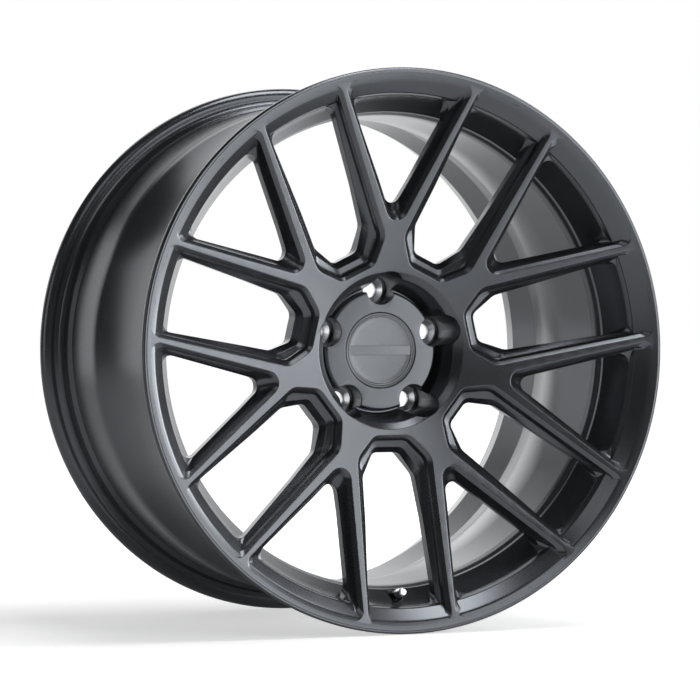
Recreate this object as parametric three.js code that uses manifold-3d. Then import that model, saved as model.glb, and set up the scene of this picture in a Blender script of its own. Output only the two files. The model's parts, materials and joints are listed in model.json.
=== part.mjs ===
// Forged racing wheel rim, 20 x 11.5 inch, with seven Y-shaped spokes.
// Millimetres, +Z up. The wheel's axis is Y and its face looks towards -Y, with the valve at the
// bottom. The origin is on the axis, midway between the two flanges.
// Depths are measured from the plane through the centre of the front flange's rounded tip.
import * as THREE from 'three';
import { mergeVertices } from 'three/addons/utils/BufferGeometryUtils.js';
import Module from 'manifold-3d';

const wasm = await Module();
wasm.setup();

// ---- Driving dimensions ----

// Rim, by the J flange contour
const RIM_DIAMETER = 512.8;
const RIM_WIDTH = 292.1;
const FLANGE_HEIGHT = 17.3;
const FLANGE_CURVE = 9.5;
const FLANGE_TIP = 4;
const SEAT_WIDTH = 21;
const SEAT_TAPER = THREE.MathUtils.degToRad(5);
const HUMP_HEIGHT = 1.2;
const WELL_DROP = 20;
const BARREL_WALL = 6;
const RIDGE_DROP = 4.4;
const RIDGE_DEPTH = 213;
const WELL_END_DEPTH = 119;
const JOINT_DEPTH = 62;

// Front rim section, seen from the face
const LIP_BAND = 4.2;
const LIP_HOLLOW = 7.5;
const RIM_CONE = 8.2;
const RIM_RIDGE_RADIUS = 233.5;
const RIM_RIDGE_DEPTH = 44.8;

// Spokes
const SPOKES = 7;
const FACE_SLOPE = 0.245;
const FACE_BOW = 0.8;
const FACE_PROUD = 0.6;
const SPOKE_CHAMFER = 3.7;
const SPOKE_WAIST = 15;
const SPOKE_THICKNESS = 28;
const SPOKE_BACK_DRAFT = 2;

// Hub
const LUGS = 5;
const PITCH_DIAMETER = 120;
const HUB_BORE = 72.6;
const MOUNT_DEPTH = 105;
const MOUNT_RADIUS = 75;
const HUB_FACE_DEPTH = 70;
const HUB_FACE_RADIUS = 59.4;
const HUB_GROOVE = 2.8;
const HUB_GROOVE_DEPTH = 10;
const HUB_RECESS_RADIUS = 69.6;
const HUB_RECESS_DEPTH = 50.4;
const SHOULDER_RADIUS = 78;
const LUG_POCKET_RADIUS = 14.8;
const LUG_SEAT_DEPTH = 94;
const LUG_SEAT_RADIUS = 12.9;
const LUG_SEAT_HEAD = 7;
const LUG_SEAT_BODY = 11.1;
const LUG_HOLE_RADIUS = 7.8;

// Centre cap
const CAP_RADIUS = 37.1;
const CAP_FLANGE = 4.6;
const CAP_DISC_RADIUS = 34.6;
const CAP_DISC_RECESS = 1.9;
const CAP_FLOOR = 3.7;
const CLIP_RADIUS = 32.7;
const CLIP_WALL = 1.7;
const CLIP_LENGTH = 15;
const CLIP_SLOTS = 6;
const CLIP_SLOT_WIDTH = 5;
const SPRING_RING_WIRE = 0.8;

// Valve
const VALVE_RADIUS_AT = 240.9;
const VALVE_DEPTH = 45.5;
const VALVE_TILT = THREE.MathUtils.degToRad(12.9);
const VALVE_POCKET_RADIUS = 7;
const VALVE_HOLE_RADIUS = 4.4;
const VALVE_WALL = 4.5;
const VALVE_STEM_RADIUS = 3.85;
const VALVE_STEM_HEIGHT = 27.4;
const VALVE_FOOT_RADIUS = 7.6;
const VALVE_FOOT_THICKNESS = 2;
const GROMMET_THICKNESS = 2.5;
const WASHER_THICKNESS = 1;
const NUT_THICKNESS = 4.5;
const NUT_RADIUS = 5.8;
const VALVE_BORE_RADIUS = 2.6;
const DUST_CAP_RADIUS = 4.7;
const DUST_CAP_WALL = 0.55;
const DUST_CAP_BASE = 18.4;
const DUST_CAP_TOP = 1.9;
const CORE_TOP = 26.4;
const CORE_LENGTH = 12;
const CORE_PIN_RADIUS = 0.6;
const CORE_PIN_TRAVEL = 1.2;
const CORE_SPRING_WIRE = 0.25;

// Clearances between pieces that nest
const FIT = 0.3;

// Steps round a full turn
const RIM_STEPS = 42;
const HUB_STEPS = 42;
const SMALL_STEPS = 18;

// ---- Sizes that follow from them ----

const SEAT_RADIUS = RIM_DIAMETER / 2;
const LIP_RADIUS = SEAT_RADIUS + FLANGE_HEIGHT;
const TIP_RADIUS_AT = LIP_RADIUS - FLANGE_TIP;
const FLANGE_DEPTH = FLANGE_CURVE + 0.95;
const TIP_TO_TIP = RIM_WIDTH + 2 * FLANGE_DEPTH;
const FRONT = -TIP_TO_TIP / 2;
const WELL_RADIUS = SEAT_RADIUS - WELL_DROP;
const RIDGE_RADIUS = SEAT_RADIUS - RIDGE_DROP;
const FACE_START = -FLANGE_TIP - FACE_PROUD;
const PITCH_RADIUS = PITCH_DIAMETER / 2;
const CAP_POCKET_DEPTH = HUB_FACE_DEPTH + FIT + CAP_FLANGE;
const CLIP_BORE_RADIUS = CLIP_RADIUS + FIT;

// Depth of the spokes' top face: a cone that falls from the lip to the hub, with a slight bow
function faceDepth(radius) {
  const inward = LIP_RADIUS - radius;
  const bow = FACE_BOW * Math.sin(Math.PI * inward / (LIP_RADIUS - SHOULDER_RADIUS));
  return FACE_START + FACE_SLOPE * inward + bow;
}

// Depth of the spokes' back, which thickens towards the mounting pad
const BACK_TURN_RADIUS = 168;
const BACK_PROFILE = [
  [LIP_RADIUS - 33, faceDepth(LIP_RADIUS - 33) + SPOKE_THICKNESS + 2],
  [BACK_TURN_RADIUS, faceDepth(BACK_TURN_RADIUS) + SPOKE_THICKNESS],
  [120, faceDepth(120) + SPOKE_THICKNESS + 5],
  [MOUNT_RADIUS + 19, MOUNT_DEPTH - 22],
  [MOUNT_RADIUS + 4, MOUNT_DEPTH - 4],
];

function backDepth(radius) {
  const points = BACK_PROFILE;
  if (radius >= points[0][0]) return points[0][1];
  for (let i = 1; i < points.length; i++) {
    const [outer, outerDepth] = points[i - 1];
    const [inner, innerDepth] = points[i];
    if (radius >= inner) return outerDepth + (innerDepth - outerDepth) * (outer - radius) / (outer - inner);
  }
  return points.at(-1)[1];
}

// ---- Solids ----

// A round piece about +Y. The profile is a closed loop of [radius, height] points.
function turned(profile, steps = HUB_STEPS, base = 0) {
  const points = profile.map(([radius, height]) => new THREE.Vector2(radius, base + height));
  if (THREE.ShapeUtils.area(points) < 0) points.reverse();
  points.push(points[0].clone());
  return new THREE.LatheGeometry(points, steps).rotateY(Math.PI / steps);
}

// Points on an arc in a profile, angles in degrees from the +radius direction
function arc([radius, depth], size, from, to, steps) {
  return Array.from({ length: steps + 1 }, (_, i) => {
    const angle = THREE.MathUtils.degToRad(from + (to - from) * i / steps);
    return [radius + size * Math.cos(angle), depth + size * Math.sin(angle)];
  });
}

function toSolid(geometry) {
  const bare = new THREE.BufferGeometry();
  bare.setAttribute('position', geometry.attributes.position);
  bare.setIndex(geometry.index);
  const merged = mergeVertices(bare, 1e-4);
  const index = merged.index.array;
  const triangles = [];
  for (let i = 0; i < index.length; i += 3) {
    const [a, b, c] = [index[i], index[i + 1], index[i + 2]];
    if (a !== b && b !== c && c !== a) triangles.push(a, b, c);
  }
  return new wasm.Manifold(new wasm.Mesh({
    numProp: 3,
    vertProperties: new Float32Array(merged.attributes.position.array),
    triVerts: new Uint32Array(triangles),
  }));
}

function toGeometry(solid) {
  const mesh = solid.getMesh();
  const geometry = new THREE.BufferGeometry();
  geometry.setAttribute('position', new THREE.BufferAttribute(mesh.vertProperties, 3));
  geometry.setIndex(new THREE.BufferAttribute(mesh.triVerts, 1));
  geometry.computeVertexNormals();
  return geometry;
}

const aroundAxis = (geometry, degrees) => geometry.clone().rotateY(-THREE.MathUtils.degToRad(degrees));

// ---- Window outlines, as [along, across] points from the wheel's centre ----

const OUTLINE_ARC_STEPS = 3;

// Rounds each corner [along, across, radius] of a closed outline
function rounded(corners) {
  return corners.flatMap(([x, y, radius], i) => {
    const corner = new THREE.Vector2(x, y);
    if (!radius) return [corner];
    const before = new THREE.Vector2(...corners.at(i - 1).slice(0, 2)).sub(corner).normalize();
    const after = new THREE.Vector2(...corners[(i + 1) % corners.length].slice(0, 2)).sub(corner).normalize();
    const half = Math.acos(before.dot(after)) / 2;
    const centre = before.clone().add(after).normalize().multiplyScalar(radius / Math.sin(half)).add(corner);
    const start = before.multiplyScalar(radius / Math.tan(half)).add(corner).sub(centre);
    const end = after.multiplyScalar(radius / Math.tan(half)).add(corner).sub(centre);
    const sweep = start.cross(end) > 0 ? Math.PI - 2 * half : 2 * half - Math.PI;
    return Array.from({ length: OUTLINE_ARC_STEPS + 1 }, (_, k) =>
      start.clone().rotateAround(new THREE.Vector2(), sweep * k / OUTLINE_ARC_STEPS).add(centre));
  });
}

// The far side of a window: where a side line meets the rim, and the arc between
function rimSide(x, y, slope, outerRadius, cornerRadius) {
  const b = slope * (y - slope * x);
  const a = 1 + slope * slope;
  const c = (y - slope * x) ** 2 - outerRadius ** 2;
  const along = (-b + Math.sqrt(b * b - a * c)) / a;
  const across = y + slope * (along - x);
  const angle = Math.atan2(across, along);
  const middle = [-0.5, 0, 0.5].map((t) =>
    [outerRadius * Math.cos(t * angle), outerRadius * Math.sin(t * angle), 0]);
  return [[along, -across, cornerRadius], ...middle, [along, across, cornerRadius]];
}

// Between the two arms of one spoke: a V with a rounded apex
function veeOutline({ tip, slope, radius }, inset, outerRadius) {
  const shift = inset * Math.hypot(1, slope) / slope;
  const apex = [tip + shift, 0, Math.max(radius - inset, 2)];
  return rounded([apex, ...rimSide(tip + shift, 0, slope, outerRadius, OUTER_CORNER)]);
}

// Between two spokes: flat towards the hub, then slanted, then long sides
function gapOutline({ flat, flatHalf, knee, slope, radii }, inset, outerRadius) {
  const [kneeAlong, kneeAcross] = knee;
  const slant = (kneeAcross - flatHalf) / (kneeAlong - flat);
  const slantShift = inset * Math.hypot(1, slant);
  const sideShift = inset * Math.hypot(1, slope);
  const half = flatHalf + slant * inset - slantShift;
  const sideStart = kneeAcross - sideShift - slope * kneeAlong;
  const slantStart = flatHalf - slantShift - slant * flat;
  const turn = (sideStart - slantStart) / (slant - slope);
  const turnAcross = kneeAcross - sideShift + slope * (turn - kneeAlong);
  const [flatRadius, kneeRadius] = radii.map((r) => Math.max(r - inset, 2));
  return rounded([
    [flat + inset, half, flatRadius],
    [flat + inset, -half, flatRadius],
    [turn, -turnAcross, kneeRadius],
    ...rimSide(turn, turnAcross, slope, outerRadius, OUTER_CORNER),
    [turn, turnAcross, kneeRadius],
  ]);
}

const OUTER_CORNER = 9;
const VEE = {
  angle: 0,
  outline: veeOutline,
  top: { tip: 111.3, slope: 0.479, radius: 11.8 },
  waist: { tip: 134.3, slope: 0.5, radius: 8.5 },
};
const GAP = {
  angle: 0.5,
  outline: gapOutline,
  top: { flat: 82.5, flatHalf: 19.1, knee: [104.8, 39.8], slope: 0.029, radii: [10, 13] },
  waist: { flat: 100.2, flatHalf: 13.7, knee: [123.2, 27.6], slope: 0.07, radii: [8, 13] },
};

// Windows open at the rim's own section, so each level stops a little inside the rim's metal
const RIM_REACH = {
  front: LIP_RADIUS,
  top: LIP_RADIUS - 8.2,
  chamfer: LIP_RADIUS - 12,
  waist: SEAT_RADIUS - 7.4,
  back: SEAT_RADIUS - 14.4,
};
const CLEAR = 8;
const thicker = (radius) => 0.09 * Math.max(BACK_TURN_RADIUS - radius, 0);

// A window's cutter: its outline at five depths, joined by straight walls
function windowCutter({ outline, top, waist }) {
  const levels = [
    [outline(top, -CLEAR, RIM_REACH.front), (r) => faceDepth(r) - CLEAR],
    [outline(top, 0, RIM_REACH.top), faceDepth],
    [outline(top, SPOKE_CHAMFER, RIM_REACH.chamfer), (r) => faceDepth(r) + SPOKE_CHAMFER],
    [outline(waist, 0, RIM_REACH.waist), (r) => faceDepth(r) + SPOKE_WAIST + thicker(r)],
    [outline(waist, -SPOKE_BACK_DRAFT, RIM_REACH.back), (r) => backDepth(r) + CLEAR],
  ];
  const flat = levels[0][0];
  const steps = levels.length - 1;
  const prism = { depth: steps, steps, bevelEnabled: false };
  const geometry = new THREE.ExtrudeGeometry(new THREE.Shape(flat), prism);
  const position = geometry.attributes.position;
  for (let v = 0; v < position.count; v++) {
    const here = new THREE.Vector2(position.getX(v), position.getY(v));
    const corner = flat.findIndex((point) => point.distanceTo(here) < 1e-3);
    const [points, depthAt] = levels[Math.round(position.getZ(v))];
    const point = points[corner];
    position.setXYZ(v, point.x, FRONT + depthAt(point.length()), -point.y);
  }
  return geometry;
}

// ---- Forged centre: hub, spokes and front rim ----

// The front flange, bead seat and hump down to the joint with the barrel
function frontRimProfile() {
  const flangeFoot = FLANGE_DEPTH + 6;
  const seatEnd = FLANGE_DEPTH + SEAT_WIDTH;
  const seatDrop = Math.tan(SEAT_TAPER) * SEAT_WIDTH;
  const bandRadius = TIP_RADIUS_AT - LIP_BAND;
  const hollowRadius = bandRadius - LIP_HOLLOW;
  const coneRadius = hollowRadius - RIM_CONE;
  return [
    [WELL_RADIUS - BARREL_WALL, JOINT_DEPTH],
    [WELL_RADIUS - BARREL_WALL + 0.5, RIM_RIDGE_DEPTH + 10],
    [RIM_RIDGE_RADIUS, RIM_RIDGE_DEPTH],
    [RIM_RIDGE_RADIUS + 10.9, RIM_RIDGE_DEPTH - 19.8],
    [coneRadius - 1.4, 16.8],
    [coneRadius, 10.4],
    [hollowRadius, 2.5],
    [hollowRadius + 3.5, -0.8],
    [bandRadius, FACE_START + 2.1],
    ...arc([TIP_RADIUS_AT, 0], FLANGE_TIP, 270, 360, 3),
    ...arc([LIP_RADIUS - FLANGE_CURVE, FLANGE_DEPTH - FLANGE_CURVE], FLANGE_CURVE, 0, 90, 3),
    [SEAT_RADIUS + 4.5, FLANGE_DEPTH],
    [SEAT_RADIUS + 1.5, FLANGE_DEPTH + 2],
    [SEAT_RADIUS - 0.4, flangeFoot],
    [SEAT_RADIUS - seatDrop, seatEnd],
    [SEAT_RADIUS - seatDrop + HUMP_HEIGHT, seatEnd + 3],
    [SEAT_RADIUS - seatDrop - 0.5, seatEnd + 7],
    [WELL_RADIUS + 2, JOINT_DEPTH - 6],
    [WELL_RADIUS, JOINT_DEPTH - 3],
    [WELL_RADIUS, JOINT_DEPTH],
  ];
}

// Hub and spokes as one round blank, before the windows are cut
function spokeBlankProfile() {
  const grooveFloor = HUB_FACE_DEPTH + HUB_GROOVE_DEPTH;
  const grooveRadius = HUB_FACE_RADIUS + HUB_GROOVE;
  const clipGrooveRadius = CLIP_BORE_RADIUS + 1.4;
  const boreStart = MOUNT_DEPTH - 15;
  const bore = HUB_BORE / 2;
  const face = [SHOULDER_RADIUS, 115, 155, 200, LIP_RADIUS - 1.5].map((r) => [r, faceDepth(r)]);
  return [
    [bore, boreStart],
    [clipGrooveRadius, boreStart],
    [clipGrooveRadius, CAP_POCKET_DEPTH + 6],
    [CLIP_BORE_RADIUS, CAP_POCKET_DEPTH + 5],
    [CLIP_BORE_RADIUS, CAP_POCKET_DEPTH],
    [CAP_RADIUS + FIT, CAP_POCKET_DEPTH],
    [CAP_RADIUS + FIT, HUB_FACE_DEPTH + 0.6],
    [CAP_RADIUS + FIT + 0.6, HUB_FACE_DEPTH],
    [HUB_FACE_RADIUS - 4, HUB_FACE_DEPTH],
    [HUB_FACE_RADIUS - 0.9, HUB_FACE_DEPTH + 1.3],
    [HUB_FACE_RADIUS, HUB_FACE_DEPTH + 4],
    [HUB_FACE_RADIUS, grooveFloor],
    [grooveRadius, grooveFloor],
    [grooveRadius + 1, grooveFloor - 4],
    [HUB_RECESS_RADIUS - 1, HUB_RECESS_DEPTH + 3.5],
    [HUB_RECESS_RADIUS, HUB_RECESS_DEPTH],
    [HUB_RECESS_RADIUS + 3, HUB_RECESS_DEPTH - 3.7],
    ...face,
    [LIP_RADIUS - FLANGE_CURVE - 2, 3],
    [SEAT_RADIUS - 6, 18],
    ...BACK_PROFILE,
    [MOUNT_RADIUS, MOUNT_DEPTH],
    [bore + 1.5, MOUNT_DEPTH],
    [bore, MOUNT_DEPTH - 1.5],
  ];
}

// Local +Y of the valve points out of the wheel's face, tilted towards its axis
const valveGroup = new THREE.Group();
valveGroup.position.set(0, FRONT + VALVE_DEPTH, -VALVE_RADIUS_AT);
valveGroup.rotation.x = Math.PI - VALVE_TILT;
valveGroup.updateMatrix();

function cylinder(radius, from, to, steps = SMALL_STEPS) {
  return turned([[0, from], [radius, from], [radius, to], [0, to]], steps);
}

function forgedCentre() {
  const blank = toSolid(turned(spokeBlankProfile(), RIM_STEPS, FRONT));
  const windows = [VEE, GAP].flatMap((kind) => {
    const cutter = windowCutter(kind);
    return Array.from({ length: SPOKES }, (_, i) =>
      toSolid(aroundAxis(cutter, 90 + (i + kind.angle) * 360 / SPOKES)));
  });
  const rim = toSolid(turned(frontRimProfile(), RIM_STEPS, FRONT));
  const lugHoles = lugPlaces().flatMap(([x, z]) => [
    [LUG_POCKET_RADIUS, 0, LUG_SEAT_DEPTH],
    [LUG_SEAT_RADIUS + FIT, LUG_SEAT_DEPTH - 1, LUG_SEAT_DEPTH + LUG_SEAT_HEAD],
    [LUG_SEAT_BODY + FIT, LUG_SEAT_DEPTH, MOUNT_DEPTH + 1],
  ].map(([radius, from, to]) => toSolid(cylinder(radius, FRONT + from, FRONT + to).translate(x, 0, z))));
  const valveCuts = [
    [VALVE_POCKET_RADIUS, 0, 60],
    [VALVE_HOLE_RADIUS, -20, 1],
    [VALVE_FOOT_RADIUS + 1.4, -30, -VALVE_WALL],
  ].map(([radius, from, to]) => toSolid(cylinder(radius, from, to).applyMatrix4(valveGroup.matrix)));
  const solid = wasm.Manifold.union([blank.subtract(wasm.Manifold.union(windows)), rim])
    .subtract(wasm.Manifold.union([...lugHoles, ...valveCuts]));
  return toGeometry(solid);
}

function lugPlaces() {
  return Array.from({ length: LUGS }, (_, i) => {
    const angle = THREE.MathUtils.degToRad(90 + i * 360 / LUGS);
    return [PITCH_RADIUS * Math.cos(angle), PITCH_RADIUS * Math.sin(angle)];
  });
}

// ---- Barrel behind the centre, to the rear flange ----

function barrelProfile() {
  const rear = TIP_TO_TIP;
  const flange = rear - FLANGE_DEPTH;
  const seatDrop = Math.tan(SEAT_TAPER) * SEAT_WIDTH;
  const seatStart = flange - SEAT_WIDTH;
  const run = RIDGE_DEPTH - WELL_END_DEPTH;
  const rise = RIDGE_RADIUS - WELL_RADIUS;
  const sweep = [0, 0.25, 0.5, 0.75, 1].map((t) => [rise * t * t, WELL_END_DEPTH + run * t]);
  return [
    [WELL_RADIUS, JOINT_DEPTH],
    ...sweep.map(([up, depth]) => [WELL_RADIUS + up, depth]),
    [RIDGE_RADIUS, seatStart - 7],
    [SEAT_RADIUS - seatDrop + HUMP_HEIGHT, seatStart - 3],
    [SEAT_RADIUS - seatDrop, seatStart],
    [SEAT_RADIUS - 0.4, flange - 6],
    [SEAT_RADIUS + 1.5, flange - 2],
    [SEAT_RADIUS + 5, flange],
    ...arc([LIP_RADIUS - FLANGE_CURVE, flange + FLANGE_CURVE], FLANGE_CURVE, -90, 0, 4),
    ...arc([TIP_RADIUS_AT, rear], FLANGE_TIP, 0, 90, 3),
    [TIP_RADIUS_AT - 7, rear + 1],
    [SEAT_RADIUS + 0.6, rear - 3.5],
    [SEAT_RADIUS - 4.4, rear - 8],
    [RIDGE_RADIUS - BARREL_WALL - 1, rear - 37],
    [RIDGE_RADIUS - BARREL_WALL, RIDGE_DEPTH + 10],
    ...sweep.slice(0, -1).reverse().map(([up, depth]) => [WELL_RADIUS - BARREL_WALL + up, depth]),
    [WELL_RADIUS - BARREL_WALL, JOINT_DEPTH],
  ];
}

// ---- Lug seats ----

function lugSeat() {
  const head = LUG_SEAT_DEPTH + LUG_SEAT_HEAD;
  const foot = MOUNT_DEPTH - FIT;
  return turned([
    [LUG_HOLE_RADIUS, head],
    [LUG_SEAT_RADIUS - 0.7, LUG_SEAT_DEPTH],
    [LUG_SEAT_RADIUS, LUG_SEAT_DEPTH],
    [LUG_SEAT_RADIUS, head],
    [LUG_SEAT_BODY, head],
    [LUG_SEAT_BODY, foot],
    [LUG_HOLE_RADIUS, foot],
  ], SMALL_STEPS, FRONT);
}

// ---- Centre cap: body with clip fingers, front disc and spring ring ----

function capBody() {
  const floor = HUB_FACE_DEPTH + FIT + CAP_DISC_RECESS;
  const under = floor + CAP_FLOOR;
  const end = CAP_POCKET_DEPTH + CLIP_LENGTH;
  const skirt = CLIP_RADIUS - 0.8;
  const inside = skirt - CLIP_WALL;
  const body = toSolid(turned([
    [0, floor],
    [CAP_DISC_RADIUS + FIT, floor],
    [CAP_DISC_RADIUS + FIT, HUB_FACE_DEPTH + FIT + 0.4],
    [CAP_RADIUS - 0.7, HUB_FACE_DEPTH + FIT],
    [CAP_RADIUS, HUB_FACE_DEPTH + FIT + 0.6],
    [CAP_RADIUS, CAP_POCKET_DEPTH],
    [skirt, CAP_POCKET_DEPTH],
    [skirt, end - 4],
    [CLIP_RADIUS, end - 2.6],
    [CLIP_RADIUS, end - 1.4],
    [skirt, end],
    [inside, end],
    [inside, under],
    [0, under],
  ], HUB_STEPS, FRONT));
  const slot = new THREE.BoxGeometry(2 * CAP_RADIUS, CLIP_LENGTH, CLIP_SLOT_WIDTH)
    .translate(0, FRONT + under + 2 + CLIP_LENGTH / 2, 0);
  const slots = Array.from({ length: CLIP_SLOTS / 2 }, (_, i) =>
    toSolid(aroundAxis(slot, i * 360 / CLIP_SLOTS)));
  return toGeometry(body.subtract(wasm.Manifold.union(slots)));
}

function capDisc() {
  const back = HUB_FACE_DEPTH + FIT + CAP_DISC_RECESS;
  return turned([
    [0, back],
    [CAP_DISC_RADIUS, back],
    [CAP_DISC_RADIUS, back - 1.3],
    [CAP_DISC_RADIUS - 0.5, back - 1.7],
    [0, back - 1.7],
  ], HUB_STEPS, FRONT);
}

function capSpringRing() {
  const radius = CLIP_RADIUS - 0.8 - CLIP_WALL - FIT - SPRING_RING_WIRE;
  const centre = [radius, CAP_POCKET_DEPTH + CLIP_LENGTH - 2];
  return turned(arc(centre, SPRING_RING_WIRE, 0, 315, 7), HUB_STEPS, FRONT);
}

// ---- Valve, along its own +Y from the pocket's floor ----

const NUT_BASE = FIT + WASHER_THICKNESS + FIT;
const FOOT_TOP = -VALVE_WALL - FIT - GROMMET_THICKNESS - FIT;
const CORE_BASE = CORE_TOP - CORE_LENGTH;
const CORE_BODY_RADIUS = VALVE_BORE_RADIUS - FIT;
const CORE_RECESS = 1.9;
const CORE_RECESS_FLOOR = CORE_TOP - 6;
const PIN_HEAD = 1.2;

function valveStem() {
  const throat = 1.9;
  return turned([
    [throat, FOOT_TOP - VALVE_FOOT_THICKNESS],
    [VALVE_FOOT_RADIUS, FOOT_TOP - VALVE_FOOT_THICKNESS],
    [VALVE_FOOT_RADIUS, FOOT_TOP],
    [VALVE_STEM_RADIUS, FOOT_TOP],
    [VALVE_STEM_RADIUS, VALVE_STEM_HEIGHT - 0.5],
    [VALVE_STEM_RADIUS - 0.5, VALVE_STEM_HEIGHT],
    [VALVE_BORE_RADIUS, VALVE_STEM_HEIGHT],
    [VALVE_BORE_RADIUS, CORE_BASE - FIT],
    [throat, CORE_BASE - FIT - 1],
  ], SMALL_STEPS);
}

const washer = (inner, outer, from, to) =>
  turned([[inner, from], [outer, from], [outer, to], [inner, to]], SMALL_STEPS);

const ROUND_STEM = VALVE_STEM_RADIUS + FIT;

const grommet = () => washer(ROUND_STEM, VALVE_FOOT_RADIUS - 0.4, FOOT_TOP + FIT, -VALVE_WALL - FIT);

const stemWasher = () => washer(ROUND_STEM, NUT_RADIUS, FIT, FIT + WASHER_THICKNESS);

function valveNut() {
  const hexagon = turned([
    [0, NUT_BASE],
    [NUT_RADIUS, NUT_BASE],
    [NUT_RADIUS, NUT_BASE + NUT_THICKNESS - 0.8],
    [NUT_RADIUS - 0.8, NUT_BASE + NUT_THICKNESS],
    [0, NUT_BASE + NUT_THICKNESS],
  ], 6);
  const hole = cylinder(VALVE_STEM_RADIUS + FIT, NUT_BASE - 1, NUT_BASE + NUT_THICKNESS + 1);
  return toGeometry(toSolid(hexagon).subtract(toSolid(hole)));
}

function coreBody() {
  const pinHole = CORE_PIN_RADIUS + FIT;
  return turned([
    [pinHole, CORE_BASE],
    [CORE_BODY_RADIUS - 0.6, CORE_BASE],
    [CORE_BODY_RADIUS, CORE_BASE + 1],
    [CORE_BODY_RADIUS, CORE_TOP],
    [CORE_RECESS, CORE_TOP],
    [CORE_RECESS, CORE_RECESS_FLOOR],
    [pinHole, CORE_RECESS_FLOOR],
  ], SMALL_STEPS);
}

const SEAL_THICKNESS = 1.5;
const SEAL_RADIUS = 1.5;
const SEAL_TOP = CORE_BASE - FIT;
const PLATE_TOP = SEAL_TOP - SEAL_THICKNESS - FIT;
const PLATE_THICKNESS = 0.8;
const PIN_TOP = CORE_TOP + 0.5;

const coreSeal = () => washer(CORE_PIN_RADIUS + FIT, SEAL_RADIUS, SEAL_TOP - SEAL_THICKNESS, SEAL_TOP);

function corePin() {
  const head = CORE_RECESS - FIT;
  return turned([
    [0, PLATE_TOP - PLATE_THICKNESS],
    [SEAL_RADIUS, PLATE_TOP - PLATE_THICKNESS],
    [SEAL_RADIUS, PLATE_TOP],
    [CORE_PIN_RADIUS, PLATE_TOP],
    [CORE_PIN_RADIUS, PIN_TOP - PIN_HEAD],
    [head, PIN_TOP - PIN_HEAD],
    [head, PIN_TOP - 0.3],
    [head - 0.3, PIN_TOP],
    [0, PIN_TOP],
  ], SMALL_STEPS);
}

// A coil round the pin, from the recess's floor to just below the pin's head at full travel
function coreSpring() {
  const turns = 5;
  const radius = (CORE_PIN_RADIUS + CORE_RECESS) / 2;
  const bottom = CORE_RECESS_FLOOR + FIT + CORE_SPRING_WIRE;
  const top = PIN_TOP - PIN_HEAD - CORE_PIN_TRAVEL - FIT - CORE_SPRING_WIRE;
  const points = Array.from({ length: turns * 12 + 1 }, (_, i) => {
    const angle = i * Math.PI / 6;
    const height = bottom + (top - bottom) * i / (turns * 12);
    return new THREE.Vector3(radius * Math.cos(angle), height, radius * Math.sin(angle));
  });
  const wire = new THREE.Shape().absarc(0, 0, CORE_SPRING_WIRE, 0, 2 * Math.PI);
  return new THREE.ExtrudeGeometry(wire, {
    extrudePath: new THREE.CatmullRomCurve3(points), steps: turns * 10, curveSegments: 6, bevelEnabled: false,
  });
}

const CAP_SEAL_THICKNESS = 0.8;
const CAP_SEAL_BASE = VALVE_STEM_HEIGHT + FIT;
const CAP_CEILING = CAP_SEAL_BASE + CAP_SEAL_THICKNESS + FIT;

const dustCapSeal = () =>
  washer(2.2, VALVE_STEM_RADIUS, CAP_SEAL_BASE, CAP_SEAL_BASE + CAP_SEAL_THICKNESS);

function dustCap() {
  const top = CAP_CEILING + DUST_CAP_TOP;
  return turned([
    [ROUND_STEM, DUST_CAP_BASE],
    [DUST_CAP_RADIUS, DUST_CAP_BASE],
    [DUST_CAP_RADIUS, DUST_CAP_BASE + 1.2],
    [DUST_CAP_RADIUS - DUST_CAP_WALL + 0.2, DUST_CAP_BASE + 1.6],
    [DUST_CAP_RADIUS - DUST_CAP_WALL + 0.2, top - 1.6],
    [DUST_CAP_RADIUS - 1.1, top - 0.3],
    [DUST_CAP_RADIUS - 1.8, top],
    [0, top],
    [0, CAP_CEILING],
    [ROUND_STEM, CAP_CEILING],
  ], SMALL_STEPS);
}

// ---- The assembly ----

const finish = (color, roughness, metalness) =>
  new THREE.MeshStandardMaterial({ color, roughness, metalness });
const materials = {
  satinBlack: finish(0x3b3d41, 0.42, 0.75),
  steel: finish(0xb9bcc0, 0.3, 1),
  capPlastic: finish(0x35373a, 0.5, 0.3),
  capMetal: finish(0x55585c, 0.4, 0.8),
  blackAnodised: finish(0x151618, 0.45, 0.6),
  brightMetal: finish(0xdcdde0, 0.2, 1),
  brass: finish(0xb08d4a, 0.35, 1),
  rubber: finish(0x161616, 0.85, 0),
};

const wheel = new THREE.Group();

function add(name, geometry, material, parent = wheel) {
  const mesh = new THREE.Mesh(geometry, material);
  mesh.name = name;
  parent.add(mesh);
  return mesh;
}

add('forged_centre', forgedCentre(), materials.satinBlack);
add('inner_barrel', turned(barrelProfile(), RIM_STEPS, FRONT), materials.satinBlack);
lugPlaces().forEach(([x, z], i) => {
  add(`lug_seat_${i + 1}`, lugSeat(), materials.steel).position.set(x, 0, z);
});

add('centre_cap_body', capBody(), materials.capPlastic);
add('centre_cap_disc', capDisc(), materials.capMetal);
add('centre_cap_spring_ring', capSpringRing(), materials.steel);

wheel.add(valveGroup);
const addValve = (name, geometry, material) => add(name, geometry, material, valveGroup);
addValve('valve_stem', valveStem(), materials.blackAnodised);
addValve('valve_grommet', grommet(), materials.rubber);
addValve('valve_washer', stemWasher(), materials.blackAnodised);
addValve('valve_nut', valveNut(), materials.blackAnodised);
addValve('valve_core_body', coreBody(), materials.brass);
addValve('valve_core_pin', corePin(), materials.brass);
addValve('valve_core_spring', coreSpring(), materials.steel);
addValve('valve_core_seal', coreSeal(), materials.rubber);
addValve('valve_cap', dustCap(), materials.brightMetal);
addValve('valve_cap_seal', dustCapSeal(), materials.rubber);

export default wheel;
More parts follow.
